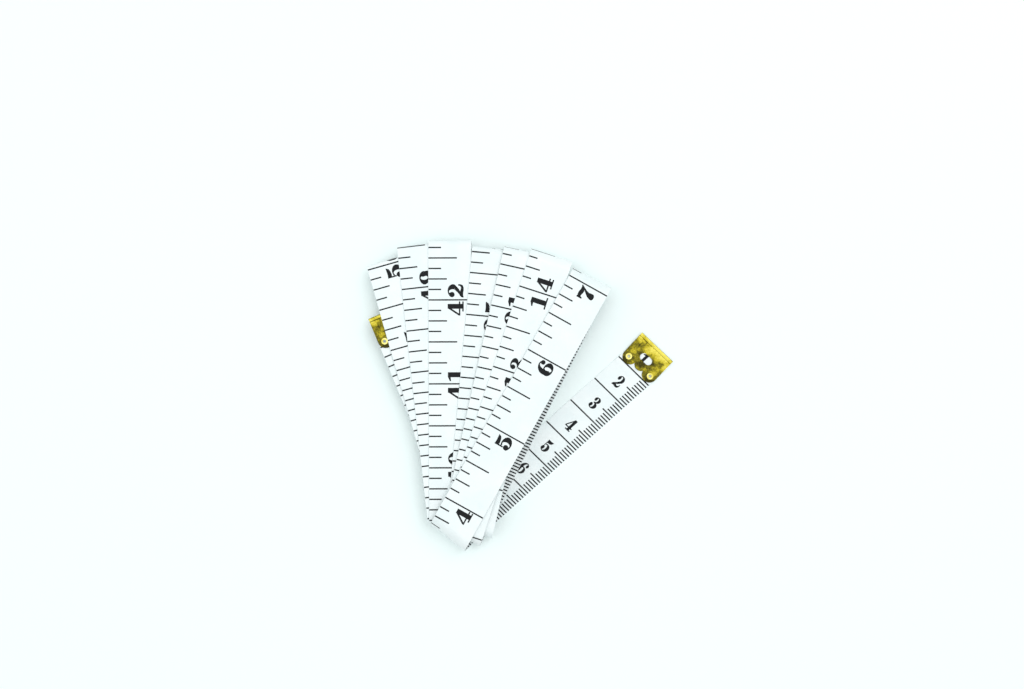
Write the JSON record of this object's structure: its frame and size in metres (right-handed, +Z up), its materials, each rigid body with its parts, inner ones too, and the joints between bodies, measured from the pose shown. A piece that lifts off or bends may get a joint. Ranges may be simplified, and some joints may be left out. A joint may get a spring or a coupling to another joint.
{
  "type": "tape measure",
  "caption": "Soft tailor's tape: a long printed ribbon wound into a flat coil and fanned out, with a folded brass clip on each end.",
  "frame": {"origin": "the middle of the spread fan in plan, halfway across and halfway along its box, on the table", "axes": "+Z up from the table; +Y from the fan's pivot towards its outer ends; +X towards the start of the ribbon"},
  "size_m": [0.0939, 0.0946, 0.0088],
  "materials": {
    "tape": "white vinyl-coated woven glass ribbon with black print",
    "clip": "bright folded sheet, lightly tarnished",
    "eyelet": "bright, turned over"
  },
  "bodies": {
    "start_leaf": {"tape_leaf_01": "tape", "tape_fold_01": "tape", "start_clip": "clip", "start_eyelet_left": "eyelet", "start_eyelet_right": "eyelet"},
    "pair_1": {"tape_leaf_02": "tape", "tape_leaf_03": "tape", "tape_fold_02": "tape", "tape_fold_03": "tape"},
    "pair_2": {"tape_leaf_04": "tape", "tape_leaf_05": "tape", "tape_fold_04": "tape", "tape_fold_05": "tape"},
    "pair_3": {"tape_leaf_06": "tape", "tape_leaf_07": "tape", "tape_fold_06": "tape", "tape_fold_07": "tape"},
    "pair_4": {"tape_leaf_08": "tape", "tape_leaf_09": "tape", "tape_fold_08": "tape", "tape_fold_09": "tape"},
    "pair_5": {"tape_leaf_10": "tape", "tape_leaf_11": "tape", "tape_fold_10": "tape", "tape_fold_11": "tape"},
    "pair_6": {"tape_leaf_12": "tape", "tape_leaf_13": "tape", "tape_fold_12": "tape", "tape_fold_13": "tape"},
    "pair_7": {"tape_leaf_14": "tape", "tape_leaf_15": "tape", "tape_fold_14": "tape", "tape_fold_15": "tape"},
    "pair_8": {"tape_leaf_16": "tape", "tape_leaf_17": "tape", "tape_fold_16": "tape", "tape_fold_17": "tape"},
    "end_leaf": {"tape_leaf_18": "tape", "end_clip": "clip", "end_eyelet_left": "eyelet", "end_eyelet_right": "eyelet"}
  },
  "joints": [
    {"name": "start_fold", "type": "hinge", "parent": "start_leaf", "child": "pair_1", "pos_m": [-0.0222, -0.04309, 0.00443], "axis": [0.7807, -0.6249, 0], "range_deg": [0, 180], "deforming": ["tape_fold_01"]},
    {"name": "fan_1", "type": "hinge", "parent": "pair_1", "child": "pair_2", "pos_m": [-0.01707, -0.03968, 0.00443], "axis": [0, 0, 1], "range_deg": [0, 12], "deforming": ["tape_fold_03"]},
    {"name": "fan_2", "type": "hinge", "parent": "pair_2", "child": "pair_3", "pos_m": [-0.01707, -0.03881, 0.00443], "axis": [0, 0, 1], "range_deg": [0, 12], "deforming": ["tape_fold_05"]},
    {"name": "fan_3", "type": "hinge", "parent": "pair_3", "child": "pair_4", "pos_m": [-0.01475, -0.0391, 0.00443], "axis": [0, 0, 1], "range_deg": [0, 12], "deforming": ["tape_fold_07"]},
    {"name": "fan_4", "type": "hinge", "parent": "pair_4", "child": "pair_5", "pos_m": [-0.01578, -0.03881, 0.00443], "axis": [0, 0, 1], "range_deg": [0, 12], "deforming": ["tape_fold_09"]},
    {"name": "fan_5", "type": "hinge", "parent": "pair_5", "child": "pair_6", "pos_m": [-0.02119, -0.0373, 0.00443], "axis": [0, 0, 1], "range_deg": [0, 12], "deforming": ["tape_fold_11"]},
    {"name": "fan_6", "type": "hinge", "parent": "pair_6", "child": "pair_7", "pos_m": [-0.0219, -0.03661, 0.00443], "axis": [0, 0, 1], "range_deg": [0, 12], "deforming": ["tape_fold_13"]},
    {"name": "fan_7", "type": "hinge", "parent": "pair_7", "child": "pair_8", "pos_m": [-0.0188, -0.0355, 0.00443], "axis": [0, 0, 1], "range_deg": [0, 12], "deforming": ["tape_fold_15"]},
    {"name": "end_swivel", "type": "hinge", "parent": "pair_8", "child": "end_leaf", "pos_m": [-0.02439, -0.01302, 0.00432], "axis": [0, 0, 1], "range_deg": [-15, 20], "deforming": ["tape_fold_17"]}
  ]
}
